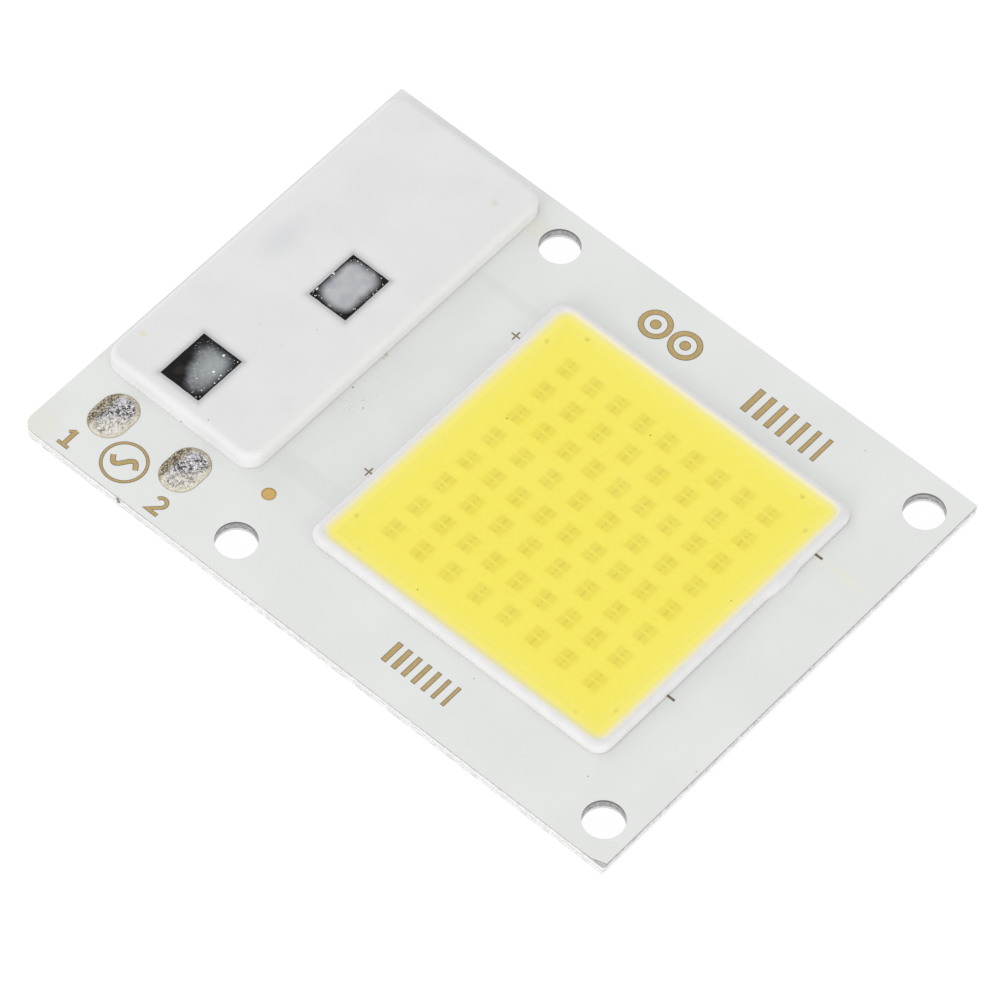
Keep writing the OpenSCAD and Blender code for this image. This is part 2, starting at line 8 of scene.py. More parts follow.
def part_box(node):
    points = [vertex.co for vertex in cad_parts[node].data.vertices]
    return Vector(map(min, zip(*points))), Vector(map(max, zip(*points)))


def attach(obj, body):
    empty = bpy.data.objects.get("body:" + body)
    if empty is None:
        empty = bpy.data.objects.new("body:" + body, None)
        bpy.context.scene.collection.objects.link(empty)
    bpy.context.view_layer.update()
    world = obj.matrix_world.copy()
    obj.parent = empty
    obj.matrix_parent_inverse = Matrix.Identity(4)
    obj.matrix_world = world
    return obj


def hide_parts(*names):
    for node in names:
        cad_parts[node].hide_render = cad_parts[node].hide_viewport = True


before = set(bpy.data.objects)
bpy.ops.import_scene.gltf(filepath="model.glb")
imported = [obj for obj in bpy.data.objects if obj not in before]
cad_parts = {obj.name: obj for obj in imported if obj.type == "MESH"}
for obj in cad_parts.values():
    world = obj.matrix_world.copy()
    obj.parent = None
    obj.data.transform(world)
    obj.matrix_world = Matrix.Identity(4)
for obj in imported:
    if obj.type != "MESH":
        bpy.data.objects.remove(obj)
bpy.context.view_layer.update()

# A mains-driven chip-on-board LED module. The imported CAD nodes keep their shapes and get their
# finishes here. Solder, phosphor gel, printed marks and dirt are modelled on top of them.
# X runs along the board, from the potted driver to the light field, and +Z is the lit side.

MM = 0.001


def mm(x, y):
    """Offset or half size in the plan, in millimetres."""
    return Vector((x * MM, y * MM, 0))


# ---- Places taken from the frame ----

board_low, board_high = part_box("aluminium_base")
mask_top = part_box("solder_mask")[1].z
dam_low, dam_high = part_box("dam_ring")
gel_low, gel_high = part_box("phosphor_gel")
block_low, block_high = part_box("potting_block")
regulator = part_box("regulator_body")
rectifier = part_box("rectifier_body")
die_rows = sorted(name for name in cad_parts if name.startswith("led_row_"))

# ---- Sizes ----

GEL_CENTRE = (gel_low + gel_high) / 2

# Draft of a package's upper sides, which its box doesn't show
PACKAGE_DRAFT = 0.1 * MM

# Round section of the dam's bead: half its foot, its radius and the height of its axis
BEAD_FOOT = 0.52 * MM
BEAD_HEIGHT = dam_high.z - mask_top
BEAD_RADIUS = (BEAD_FOOT ** 2 + BEAD_HEIGHT ** 2) / (2 * BEAD_HEIGHT)
BEAD_AXIS = dam_high.z - BEAD_RADIUS
# From the gel's edge to the bead's crest, and half the size of the dam's foot without the lap
CREST_STEP = math.sqrt(BEAD_RADIUS ** 2 - (gel_high.z - BEAD_AXIS) ** 2)
DAM_HALF = (gel_high - gel_low) / 2 + Vector((1, 1, 0)) * (CREST_STEP + BEAD_FOOT)
# How far the film of gel laps over the crest, and half the size of what it covers
FILM_LAP = 0.2 * MM
FILM_HALF = (gel_high - gel_low) / 2 + Vector((1, 1, 0)) * (CREST_STEP + FILM_LAP)

# Mounting holes: columns from the board's -X edge in millimetres, height of the upper row, radius
HOLE_COLUMNS = (17.75, 51.55)
HOLE_ROW = board_high.y - 2.9 * MM
HOLE_RADIUS = 1.55 * MM

# Round corners of the potting block, of the dam's foot, of the gel's film and of a package's resin film
BLOCK_ROUND = 1.4 * MM
DAM_ROUND = 1.2 * MM
FILM_ROUND = 1.4 * MM
RESIN_ROUND = 1.3 * MM

# Dies: number in a long row, size along the row, height of a layer on the face, electrodes on its two
# halves, dots on one and a bar on the other
LONG_ROW = 9
DIE_WIDTH = 1.25 * MM
LAYER = 0.012 * MM
ELECTRODE_HALF = mm(0.58, 0.33)
ELECTRODE_STEP = 0.42 * MM
DOT_RADIUS = 0.105 * MM
DOT_STEP = 0.2 * MM
BAR_HALF = mm(0.085, 0.29)
# Marks that the dies were placed by
BOND_RADIUS = 0.18 * MM
BOND_STEP = 2.03 * MM

# Gilt marks: heights of the rim of painted shade and of the gilt above the mask, width of the rim
RIM_HIGH = 0.004 * MM
GILT_HIGH = 0.008 * MM
RIM_WIDTH = 0.06 * MM
# How deep thin pieces are sunk into what they lie on
SUNK = 0.01 * MM

# Specular level of silicone and potting, and of moulding compound
SOFT_GLOSS = 0.35
COMPOUND_GLOSS = 0.15


def middle(low, high):
    return (low + high) / 2


def half_size(low, high):
    return (high - low) / 2


def top_half(low, high):
    """Half the size of a package's top, inside the draft of its sides."""
    return half_size(low, high) - Vector((1, 1, 0)) * PACKAGE_DRAFT


def from_corner(x, y):
    """Place on the mask, in millimetres from the board's -X, -Y corner."""
    return Vector((board_low.x + x * MM, board_low.y + y * MM, mask_top))


# ---- Shaders ----

def rgb(red, green, blue):
    """Screen colour of 0 to 255 as the linear colour that a socket takes."""
    def linear(value):
        share = value / 255
        return share / 12.92 if share <= 0.04045 else ((share + 0.055) / 1.055) ** 2.4
    return (linear(red), linear(green), linear(blue), 1.0)


def grey(level):
    return rgb(level, level, level)


class Shader:
    """One material's node tree, built by short calls that return sockets."""

    def __init__(self, name):
        self.material = bpy.data.materials.new(name)
        self.material.use_nodes = True
        self.tree = self.material.node_tree
        self.tree.nodes.clear()
        self.place = self.node("ShaderNodeTexCoord").outputs["Object"]
        split = self.node("ShaderNodeSeparateXYZ", {"Vector": self.place})
        self.x, self.y, self.z = split.outputs

    def node(self, kind, inputs=None, **settings):
        made = self.tree.nodes.new(kind)
        for name, value in settings.items():
            setattr(made, name, value)
        for key, value in (inputs or {}).items():
            self.feed(made.inputs[key], value)
        return made

    def feed(self, socket, value):
        if isinstance(value, bpy.types.NodeSocket):
            self.tree.links.new(value, socket)
        else:
            socket.default_value = value

    def math(self, operation, first, second=0.0):
        made = self.node("ShaderNodeMath", {0: first, 1: second}, operation=operation)
        return made.outputs[0]

    def add(self, first, second):
        return self.math("ADD", first, second)

    def minus(self, first, second):
        return self.math("SUBTRACT", first, second)

    def product(self, *factors):
        result = factors[0]
        for factor in factors[1:]:
            result = self.math("MULTIPLY", result, factor)
        return result

    def mix(self, share, first, second):
        made = self.node("ShaderNodeMix", data_type="RGBA")
        self.feed(made.inputs[0], share)
        self.feed(made.inputs[6], first)
        self.feed(made.inputs[7], second)
        return made.outputs[2]

    def stain(self, colour, other, *shares):
        """Colour with another laid over it, as strong as the product of the shares."""
        return self.mix(self.product(*shares), colour, other)

    def tones(self, value, low, high, dark, light):
        """Dark where the value is below low, light where it is above high."""
        return self.mix(self.rise(value, low, high), dark, light)

    def rise(self, value, low, high):
        """0 below low and 1 above high, with a soft step between. Falls where high is below low."""
        made = self.node(
            "ShaderNodeMapRange",
            {"Value": value, "From Min": low, "From Max": high},
            interpolation_type="SMOOTHSTEP",
        )
        return made.outputs["Result"]

    def step(self, value, low, high):
        """Rise whose ends are in millimetres."""
        return self.rise(value, low * MM, high * MM)

    def scaled(self, size, stretch=(1, 1, 1), offset=(0, 0, 0)):
        """Object place in units of size millimetres, stretched and moved."""
        scale = [share / (size * MM) for share in stretch]
        inputs = {"Vector": self.place, "Location": offset, "Scale": scale}
        return self.node("ShaderNodeMapping", inputs).outputs[0]

    def noise(self, size, detail=3.0, **place):
        """Soft noise of 0 to 1 whose lumps are about size millimetres across."""
        inputs = {"Vector": self.scaled(size, **place), "Scale": 1.0, "Detail": detail}
        return self.node("ShaderNodeTexNoise", inputs).outputs[0]

    def grains(self, size, **place):
        """Distance from the nearest of many scattered points, in grains."""
        inputs = {"Vector": self.scaled(size, **place), "Scale": 1.0}
        return self.node("ShaderNodeTexVoronoi", inputs).outputs["Distance"]

    def swing(self, value, reach):
        """Noise of 0 to 1 turned into half the reach to both sides of 0."""
        return self.product(self.minus(value, 0.5), reach)

    def facing(self, kind="Normal"):
        """Surface normal, and its three parts."""
        normal = self.node("ShaderNodeNewGeometry").outputs[kind]
        return normal, self.node("ShaderNodeSeparateXYZ", {"Vector": normal}).outputs

    def outside(self, centre, half, radius=0.0, place=None):
        """Distance in metres outside an upright box with round corners, negative within it."""
        gaps = []
        for axis, position in enumerate(place or (self.x, self.y)):
            off = self.math("ABSOLUTE", self.minus(position, centre[axis]))
            gaps.append(self.minus(off, half[axis] - radius))
        over = [self.math("MAXIMUM", gap, 0.0) for gap in gaps]
        squares = self.add(self.product(over[0], over[0]), self.product(over[1], over[1]))
        within = self.math("MINIMUM", self.math("MAXIMUM", gaps[0], gaps[1]), 0.0)
        distance = self.add(self.math("SQRT", squares), within)
        return self.minus(distance, radius)

    def blot(self, centre, half, soft=0.5, ragged=0.0):
        """1 inside an ellipse, fading to 0 over a share of its size, with a ragged outline."""
        squares = []
        for axis, position in enumerate((self.x, self.y)):
            off = self.math("DIVIDE", self.minus(position, centre[axis]), half[axis])
            squares.append(self.product(off, off))
        size = self.math("SQRT", self.add(squares[0], squares[1]))
        if ragged:
            size = self.add(size, self.swing(self.noise(0.4), ragged))
        return self.rise(size, 1 + soft / 2, 1 - soft / 2)

    def near_hole(self):
        """1 on the walls of the mounting holes."""
        across = self.math("ABSOLUTE", self.y)
        radius = HOLE_RADIUS + 0.15 * MM
        share = 0.0
        for column in HOLE_COLUMNS:
            centre = (from_corner(column, 0).x, HOLE_ROW)
            gap = self.outside(centre, (radius, radius), radius, (self.x, across))
            share = self.math("MAXIMUM", share, self.step(gap, 0.02, -0.02))
        return share

    def strip(self, y, half_width):
        """1 along a strip across the board, with soft edges."""
        off = self.math("ABSOLUTE", self.minus(self.y, y))
        return self.rise(off, half_width + 0.2 * MM, half_width - 0.2 * MM)

    def bump(self, height, depth, normal=None):
        """Relief of the surface, depth in millimetres."""
        inputs = {"Height": height, "Distance": depth * MM, "Strength": 1.0}
        if normal is not None:
            inputs["Normal"] = normal
        return self.node("ShaderNodeBump", inputs).outputs[0]

    def end(self, surface):
        output = self.node("ShaderNodeOutputMaterial")
        self.tree.links.new(surface.outputs[0], output.inputs["Surface"])
        return self.material

    def finish(self, colour, roughness, normal=None, **sockets):
        inputs = {"Base Color": colour, "Roughness": roughness}
        if normal is not None:
            inputs["Normal"] = normal
        inputs.update({name.replace("_", " "): value for name, value in sockets.items()})
        return self.end(self.node("ShaderNodeBsdfPrincipled", inputs))


# ---- Finishes ----

def grained(name, dark, light, size, detail, roughness, depth, span=(0.3, 0.7), **sockets):
    """Finish of two tones in an even grain, which also roughens the surface."""
    s = Shader(name)
    grain = s.noise(size, detail)
    return s.finish(s.tones(grain, *span, dark, light), roughness, s.bump(grain, depth), **sockets)


def plated(name, dark, light):
    """Thin metal of the electrodes and of tarnished or bare gilt."""
    return grained(name, dark, light, 0.09, 3.0, 0.45, 0.004)


def hidden(name, dark, light, roughness, metallic):
    """What the potting and the gel cover."""
    return grained(name, dark, light, 0.15, 4.0, roughness, 0.004, Metallic=metallic)


def powder(name, dark, light):
    """Dust and dirt."""
    return grained(name, dark, light, 0.05, 3.0, 0.85, 0.01, (0.35, 0.65))


def aluminium_finish():
    """Mill-finished plate: rolled faces, bright sheared edges with smudges and a band of painted shade under
    the +X end face's top arris, and hole walls painted dark as shade.
    """
    s = Shader("mill_aluminium")
    grain = s.noise(0.3)
    smudges = s.noise(0.55, stretch=(1, 1, 2.2), offset=(3, 1, 0))
    fine = s.noise(0.16, 2.0, offset=(1, 5, 2))
    wavy = s.add(s.z, s.swing(s.noise(1.3, offset=(2, 2, 0)), 0.3 * MM))
    normal, parts = s.facing("True Normal")
    end_face = s.rise(parts[0], 0.6, 0.8)
    other = s.minus(1.0, end_face)
    # Broken lines left by the shears, and smudges by the lower arris
    edge = s.tones(grain, 0.3, 0.7, rgb(224, 224, 223), grey(234))
    above, below = s.step(wavy, 0.4, 0.45), s.step(wavy, 0.54, 0.48)
    edge = s.stain(edge, grey(158), above, below, s.rise(fine, 0.42, 0.55), 0.7)
    spotted = s.rise(smudges, 0.47, 0.58)
    low = s.product(other, s.step(wavy, 0.34, 0.24), spotted, 0.36)
    high = s.product(end_face, s.step(wavy, 0.28, 0.42), spotted, 0.42)
    edge = s.stain(edge, grey(158), s.add(low, high))
    edge = s.stain(edge, grey(234), end_face, s.step(wavy, 0.44, 0.26))
    foot = s.step(s.z, 0.1, 0.04)
    edge = s.stain(edge, grey(180), other, foot, s.rise(fine, 0.38, 0.5), 0.2)
    # Painted shade: a broken dark band under the top arris of the +X end face
    arris = s.step(s.add(s.z, s.swing(smudges, 0.16 * MM)), 0.66, 0.72)
    edge = s.stain(edge, grey(136), end_face, arris, s.rise(fine, 0.36, 0.5), 0.85)
    # Rolled upper and lower faces, and the hole walls, painted dark as shade and lighter at their foot
    rolled = s.noise(0.3, 5.0, stretch=(0.03, 1, 1), offset=(0, 7, 0))
    face = s.tones(rolled, 0.3, 0.7, rgb(204, 205, 207), rgb(216, 216, 217))
    flat = s.rise(s.math("ABSOLUTE", parts[2]), 0.6, 0.8)
    shaded_bore = s.tones(grain, 0.35, 0.65, grey(150), grey(186))
    shaded_bore = s.stain(shaded_bore, grey(236), s.step(s.z, 0.3, 0.22))
    colour = s.stain(s.mix(flat, edge, face), shaded_bore, s.near_hole(), s.minus(1.0, flat))
    height = s.mix(flat, grain, s.product(rolled, 0.25))
    return s.finish(colour, 0.5, s.bump(height, 0.012, normal), Metallic=0.25)


def dielectric_finish():
    """Filled resin between the plate and the tracks, seen at the cut edges, with painted shade on the +X end
    face and in the holes.
    """
    s = Shader("filled_resin")
    speckle = s.noise(0.3, 4.0)
    edge = s.tones(speckle, 0.35, 0.7, rgb(184, 184, 182), rgb(226, 226, 224))
    parts = s.facing()[1]
    # Painted shade: darker on the +X end face and, much darker, in the holes
    edge = s.stain(edge, rgb(170, 170, 169), s.rise(parts[0], 0.6, 0.8), 0.3)
    colour = s.mix(s.near_hole(), edge, rgb(104, 103, 102))
    return s.finish(colour, 0.7, s.bump(speckle, 0.01))


def copper_finish():
    s = Shader("track_copper")
    colour = s.mix(s.noise(1.2, 5.0), rgb(176, 112, 78), rgb(214, 150, 110))
    return s.finish(colour, 0.38, s.bump(s.noise(0.05), 0.003), Metallic=1.0)


def gilt_finish():
    """Thin gold plating on etched copper."""
    s = Shader("gilt_copper")
    grain = s.noise(0.07, 4.0)
    colour = s.tones(grain, 0.3, 0.7, rgb(178, 152, 98), rgb(204, 178, 120))
    colour = s.stain(colour, rgb(166, 138, 90), s.noise(0.7, 2.0, offset=(5, 0, 0)), 0.35)
    return s.finish(colour, 0.45, s.bump(grain, 0.006), Metallic=0.15)


def mask_finish():
    """White screen-printed mask, with the relief of the tracks, stains and dust."""
    s = Shader("white_mask")
    grain = s.noise(0.12, 4.0)
    cloud = s.noise(6, 2.0, offset=(2, 4, 0))
    colour = s.tones(cloud, 0.35, 0.65, rgb(226, 228, 226), rgb(229, 231, 229))
    colour = s.stain(colour, rgb(218, 220, 219), s.rise(grain, 0.55, 0.8), 0.25)
    # Painted shade at the feet of the block and of the dam, strongest on their +X sides: a soft halo and a
    # thin contact line
    block_gap = s.outside(middle(block_low, block_high), half_size(block_low, block_high), BLOCK_ROUND)
    dam_gap = s.outside(GEL_CENTRE, DAM_HALF, DAM_ROUND)
    for gap, side in ((block_gap, block_high.x), (dam_gap, dam_high.x)):
        side_weight = s.add(s.product(s.rise(s.x, side - 1.2 * MM, side), 0.8), 0.2)
        colour = s.stain(colour, rgb(200, 201, 198), s.step(gap, 0.7, 0.0), side_weight, 0.2)
        colour = s.stain(colour, rgb(176, 177, 170), s.step(gap, 0.16, 0.02), side_weight, 0.4)
    # The supply and return tracks lift the mask between the block and the dam
    supply, back = s.strip(from_corner(0, 31.35).y, 0.45 * MM), s.strip(from_corner(0, 10.2).y, 0.85 * MM)
    relief = s.product(
        s.rise(s.x, block_high.x, block_high.x + 0.6 * MM),
        s.rise(s.x, dam_low.x, dam_low.x - 0.6 * MM),
        s.add(supply, back),
    )
    colour = s.stain(colour, rgb(216, 218, 217), relief, 0.3)
    stains = (
        ((50.9, 29.1), (2.2, 0.35), (236, 234, 190), 0.22),
        ((15.6, 37.2), (1.0, 0.9), (228, 224, 206), 0.4),
        ((0.8, 0.9), (1.6, 1.2), (226, 222, 202), 0.3),
        ((53.2, 1.0), (1.2, 1.0), (222, 218, 204), 0.12),
    )
    for place, half, tint, depth in stains:
        colour = s.stain(colour, rgb(*tint), s.blot(from_corner(*place), mm(*half), 0.9, 1.2), depth)
    # Cut edges, with painted shade making them darker on the +X end face and in the holes, and brown by the
    # chipped corner
    parts = s.facing()[1]
    cut = s.tones(parts[0], 0.6, 0.8, rgb(172, 172, 170), rgb(140, 140, 139))
    cut = s.stain(cut, rgb(128, 112, 92), s.blot(from_corner(53.3, 0.3), mm(1.2, 0.6), 0.4))
    cut = s.stain(cut, rgb(112, 111, 110), s.near_hole())
    colour = s.stain(colour, cut, s.rise(s.math("ABSOLUTE", parts[2]), 0.8, 0.6))
    height = s.add(s.product(grain, 0.15), relief)
    return s.finish(colour, 0.5, s.bump(height, 0.006))


def potting_finish():
    """Matt white potting, darker round the packages that come through it, with a painted highlight along its
    +X edge.
    """
    s = Shader("white_potting")
    grain = s.noise(0.2, 4.0)
    cloud = s.noise(4, offset=(1, 8, 0))
    colour = s.tones(cloud, 0.3, 0.7, rgb(225, 225, 226), grey(229))
    for low, high in (regulator, rectifier):
        gap = s.outside(middle(low, high), half_size(low, high))
        wavy = s.add(gap, s.swing(s.noise(1.6, 2.0), 0.5 * MM))
        colour = s.stain(colour, rgb(168, 168, 172), s.step(wavy, 0.7, -0.2), 0.34)
        colour = s.stain(colour, rgb(136, 136, 140), s.step(gap, 0.3, -0.06), 0.34)
    # The shadow of a buried part, and two small stains
    blots = (
        ((3.4, 23.6), (1.0, 1.8), (208, 209, 214), 0.45, 1.6),
        ((1.72, 10.65), (0.28, 0.3), (226, 218, 180), 0.5, 1.2),
        ((12.5, 35.99), (0.26, 0.3), (214, 210, 196), 0.5, 1.2),
    )
    for place, half, tint, depth, soft in blots:
        colour = s.stain(colour, rgb(*tint), s.blot(from_corner(*place), mm(*half), soft, 0.8), depth)
    # Painted highlight with a yellow tint along the +X edge
    yellow_highlight_edge = s.rise(s.x, block_high.x - 1.2 * MM, block_high.x - 0.1 * MM)
    colour = s.stain(colour, rgb(231, 231, 222), yellow_highlight_edge, 0.3)
    pits = s.rise(s.grains(0.9), 0.09, 0.03)
    sparse = s.rise(s.noise(2.2, 1.0, offset=(9, 2, 0)), 0.52, 0.6)
    colour = s.stain(colour, grey(196), pits, sparse, 0.3)
    height = s.add(grain, s.product(cloud, 2.0))
    return s.finish(colour, 0.55, s.bump(height, 0.008), Specular_IOR_Level=SOFT_GLOSS)


def gel_finish():
    """Phosphor-filled silicone: cloudy yellow, thin and pale where it climbs the dam."""
    s = Shader("phosphor_gel")
    # The film reaches a little further up the dam on the +X and -Y sides
    centre = GEL_CENTRE + mm(0.045, -0.045)
    wobble = s.swing(s.noise(1.2, 2.0), 0.1 * MM)
    inward = s.minus(wobble, s.outside(centre, FILM_HALF, FILM_ROUND))
    # Colours by the distance within the film's outline, as a share of the fading band
    fading = 2.0 * MM
    share = s.math("DIVIDE", inward, fading)
    steps = (
        (0.0, (228, 227, 226)), (0.05, (229, 228, 221)), (0.1, (232, 229, 212)), (0.15, (235, 230, 201)),
        (0.2, (238, 231, 187)), (0.25, (241, 232, 171)), (0.3, (243, 233, 155)), (0.35, (245, 234, 140)),
        (0.4, (246, 235, 128)), (0.45, (247, 236, 119)), (0.5, (248, 237, 115)), (0.55, (248, 237, 113)),
        (0.75, (249, 238, 113)), (1.0, (248, 236, 99)),
    )
    ramp = s.node("ShaderNodeValToRGB", {"Fac": share})
    while len(ramp.color_ramp.elements) < len(steps):
        ramp.color_ramp.elements.new(0.5)
    for element, (place, colour) in zip(ramp.color_ramp.elements, steps):
        element.position = place
        element.color = rgb(*colour)
    cloud = s.rise(s.noise(5, 2.0), 0.3, 0.7)
    colour = s.stain(ramp.outputs["Color"], rgb(245, 232, 80), cloud, s.rise(share, 0.8, 2.0), 0.5)
    # Thick enough to hide the dam's flank, then clear enough to show the dies
    clear = s.product(s.step(inward, 0.95, 1.3), 0.26)
    alpha = s.product(s.step(inward, 0.1, 0.26), s.minus(1.0, clear))
    normal = s.bump(s.noise(1.4, 2.0), 0.01)
    return s.finish(colour, 0.45, normal, Alpha=alpha, Specular_IOR_Level=SOFT_GLOSS)


def package_top(name, low, high):
    """Shader for black moulding compound, with the middle and half size of the package's top."""
    s = Shader(name)
    colour = s.tones(s.noise(0.1, 4.0), 0.35, 0.65, rgb(10, 10, 11), rgb(26, 27, 28))
    return s, middle(low, high), top_half(low, high), colour


def end_package(s, centre, half, colour, dusty=1.0):
    """Finish with the outline of the package's top black, and grains of white dust just inside it."""
    gap = s.outside(centre, half)
    grains = s.rise(s.grains(0.2), 0.26, 0.12)
    near = s.step(gap, -0.65, -0.3)
    patchy = s.rise(s.noise(0.9, 2.0, offset=(6, 6, 0)), 0.42, 0.6)
    colour = s.stain(colour, rgb(206, 207, 208), grains, near, patchy, dusty, 0.6)
    wavy = s.add(gap, s.swing(s.noise(0.3, 2.0), 0.12 * MM))
    colour = s.stain(colour, grey(12), s.step(wavy, -0.16, -0.05), 0.92)
    return s.finish(colour, 0.6, Specular_IOR_Level=COMPOUND_GLOSS)


def regulator_finish():
    """Black compound, nearly all of its top under a grey film of resin."""
    s, centre, half, colour = package_top("regulator_compound", *regulator)
    gap = s.outside(centre + mm(-0.1, 0.05), half, RESIN_ROUND)
    gap = s.add(gap, s.swing(s.noise(0.9), 0.4 * MM))
    mottle = s.noise(0.9, 4.0, offset=(4, 4, 0))
    film = s.tones(mottle, 0.3, 0.7, rgb(172, 174, 180), rgb(188, 189, 191))
    colour = s.stain(colour, film, s.step(gap, 0.05, -0.8))
    return end_package(s, centre, half, colour)


def rectifier_finish():
    """Black compound with a grey film of resin on its +X side and a brown spot in the bare corner."""
    s, centre, half, colour = package_top("rectifier_compound", *rectifier)
    spot = s.blot(centre + mm(-0.95, -1.2), mm(0.32, 0.38), 1.0, 0.8)
    colour = s.stain(colour, rgb(46, 42, 34), spot, 0.8)
    wobble = s.swing(s.noise(1.1, 2.0), 0.9 * MM)
    slant = s.product(s.minus(s.y, centre.y), 0.567)
    lean = s.add(s.minus(s.x, centre.x), slant)
    reach = s.step(s.add(lean, wobble), -1.35, -0.35)
    gap = s.outside(centre + mm(0.12, -0.05), half, RESIN_ROUND)
    gap = s.add(gap, s.product(wobble, 0.4))
    # The film is brightest in its middle, mottled and spattered with drops
    bright = s.blot(centre + mm(0.55, 0.6), mm(1.1, 1.8), 1.7)
    film = s.mix(bright, rgb(84, 84, 88), rgb(156, 161, 164))
    mottle = s.rise(s.noise(0.3, 4.0, offset=(4, 4, 0)), 0.35, 0.75)
    film = s.stain(film, rgb(186, 188, 190), mottle, 0.25)
    film = s.stain(film, rgb(206, 208, 210), s.rise(s.grains(0.3, offset=(5, 5, 0)), 0.22, 0.08), 0.6)
    colour = s.stain(colour, film, reach, s.step(gap, 0.05, -0.95))
    return end_package(s, centre, half, colour, reach)


def solder_finish(name, low, high):
    """Dull solder: wormy and dark in a slanting band, cracked and pale below it, bare gilt at the rim."""
    s = Shader(name)
    centre, half = middle(low, high), half_size(low, high)
    off_x = s.minus(s.x, centre.x)
    off_y = s.minus(s.y, centre.y)
    fine = s.noise(0.1, 2.0)
    coarse = s.noise(0.5, 4.0, offset=(2, 6, 0))
    up = s.product(s.minus(off_y, off_x), 0.707)
    up = s.add(up, s.swing(coarse, 1.1 * MM))
    band = s.product(s.step(up, -0.3, 0.1), s.step(up, 1.25, 0.75))
    pale = s.noise(0.2, offset=(1, 1, 0))
    colour = s.tones(pale, 0.35, 0.65, rgb(202, 198, 190), rgb(232, 229, 220))
    lilac = s.tones(fine, 0.4, 0.6, rgb(170, 168, 180), rgb(224, 223, 228))
    colour = s.stain(colour, lilac, s.step(up, -0.6, -0.1), 0.75)
    # Cracks and worms, and painted highlights as bright glints
    curl = s.math("ABSOLUTE", s.minus(s.noise(0.32, offset=(7, 3, 0)), 0.5))
    cracked = s.rise(s.noise(0.5, 1.0, offset=(3, 3, 0)), 0.34, 0.44)
    colour = s.stain(colour, rgb(92, 80, 66), s.rise(curl, 0.06, 0.015), cracked, 0.85)
    thick = s.rise(s.noise(0.7, 2.0, offset=(6, 2, 0)), 0.34, 0.46)
    worms = s.rise(s.noise(0.21, 2.0, offset=(5, 5, 0)), 0.47, 0.52)
    colour = s.stain(colour, rgb(30, 31, 42), band, thick, worms, 0.95)
    painted_glint_share = s.add(s.product(band, 0.8), 0.2)
    colour = s.stain(colour, rgb(254, 254, 252), painted_glint_share, s.rise(fine, 0.59, 0.64))
    # Bare gilt at the rim, cream towards the lower edge, golden with dark dots on the -X side
    gap = s.outside(centre, half, half.x)
    mottle = s.rise(s.noise(0.13, offset=(8, 1, 0)), 0.38, 0.62)
    tan = s.mix(mottle, rgb(160, 144, 112), rgb(218, 208, 184))
    cream = s.mix(mottle, rgb(202, 194, 170), rgb(236, 232, 214))
    bare = s.stain(tan, cream, s.step(up, 0.3, -0.5))
    rim = s.step(s.add(gap, s.swing(coarse, 0.7 * MM)), -0.42, -0.16)
    colour = s.stain(colour, bare, rim, 0.8)
    side_weight = s.step(off_x, -0.5, -1.0)
    colour = s.stain(colour, rgb(176, 156, 112), side_weight, 0.6)
    dots = s.rise(s.noise(0.15, 2.0, offset=(9, 9, 0)), 0.48, 0.54)
    colour = s.stain(colour, rgb(46, 42, 36), side_weight, dots, 0.9)
    colour = s.stain(colour, rgb(138, 126, 106), s.step(gap, -0.09, -0.03), 0.6)
    return s.finish(colour, 0.45, s.bump(fine, 0.015), Metallic=0.1)


def dress(material, *nodes):
    """Gives CAD nodes their finish."""
    for part in (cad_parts[node] for node in nodes):
        if not part.material_slots:
            part.data.materials.append(material)
        for place in part.material_slots:
            place.material = material


# Finishes that several pieces share
gilt = gilt_finish()
# Dark rims of painted shade round the gilt marks, where the mask's edge would step down
mark_edge_shade = grained("mask_step_shade", rgb(112, 96, 78), rgb(140, 124, 104), 0.06, 3.0, 0.6, 0.004, (0.35, 0.65))
mark_dark = plated("tarnished_gilt", rgb(92, 74, 56), rgb(136, 114, 82))
mark_pale = plated("thin_gilt", rgb(122, 106, 76), rgb(160, 142, 104))
potting = potting_finish()
dust = powder("white_dust", grey(232), grey(246))
dirt = powder("dark_dirt_and_nick_shade", rgb(132, 129, 122), rgb(172, 169, 162))


# ---- Meshes ----

def piece(name, vertices, faces, material, slot=None, smooth=True):
    """New piece of the object, in the frame's coordinates."""
    mesh = bpy.data.meshes.new(name)
    mesh.from_pydata([tuple(v) for v in vertices], [], faces)
    mesh.materials.append(material)
    for polygon in mesh.polygons:
        polygon.use_smooth = smooth
    mesh.validate()
    mesh.update()
    made = bpy.data.objects.new(name, mesh)
    bpy.context.scene.collection.objects.link(made)
    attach(made, "root")
    return made


def patch(centre, half, radius, step, height, band=0.0, fine=1.0):
    """Sheet over a box with round corners, on a grid that is finer in a band along the sides.

    height(x, y, edge) is its z, edge the distance within the outline.
    """
    core = (max(half[0] - radius, 0.0), max(half[1] - radius, 0.0))
    across, along = spread(half[0], step, band, fine), spread(half[1], step, band, fine)
    vertices, inner = [], []
    for y in along:
        for x in across:
            near = Vector((min(max(x, -core[0]), core[0]), min(max(y, -core[1]), core[1])))
            off = Vector((x, y)) - near
            inner.append(off.length < radius - 0.001 * MM)
            if off.length > radius:
                off = off * (radius / off.length)
            spot = near + off
            edge = radius - off.length
            if radius == 0 or off.length == 0:
                edge = min(half[0] - abs(spot.x), half[1] - abs(spot.y))
            vertices.append((centre[0] + spot.x, centre[1] + spot.y, height(spot.x, spot.y, edge)))
    faces = []
    width = len(across)
    for row in range(len(along) - 1):
        for column in range(width - 1):
            first = row * width + column
            corners = (first, first + 1, first + width + 1, first + width)
            if any(inner[c] for c in corners):
                faces.append(corners)
    return vertices, faces


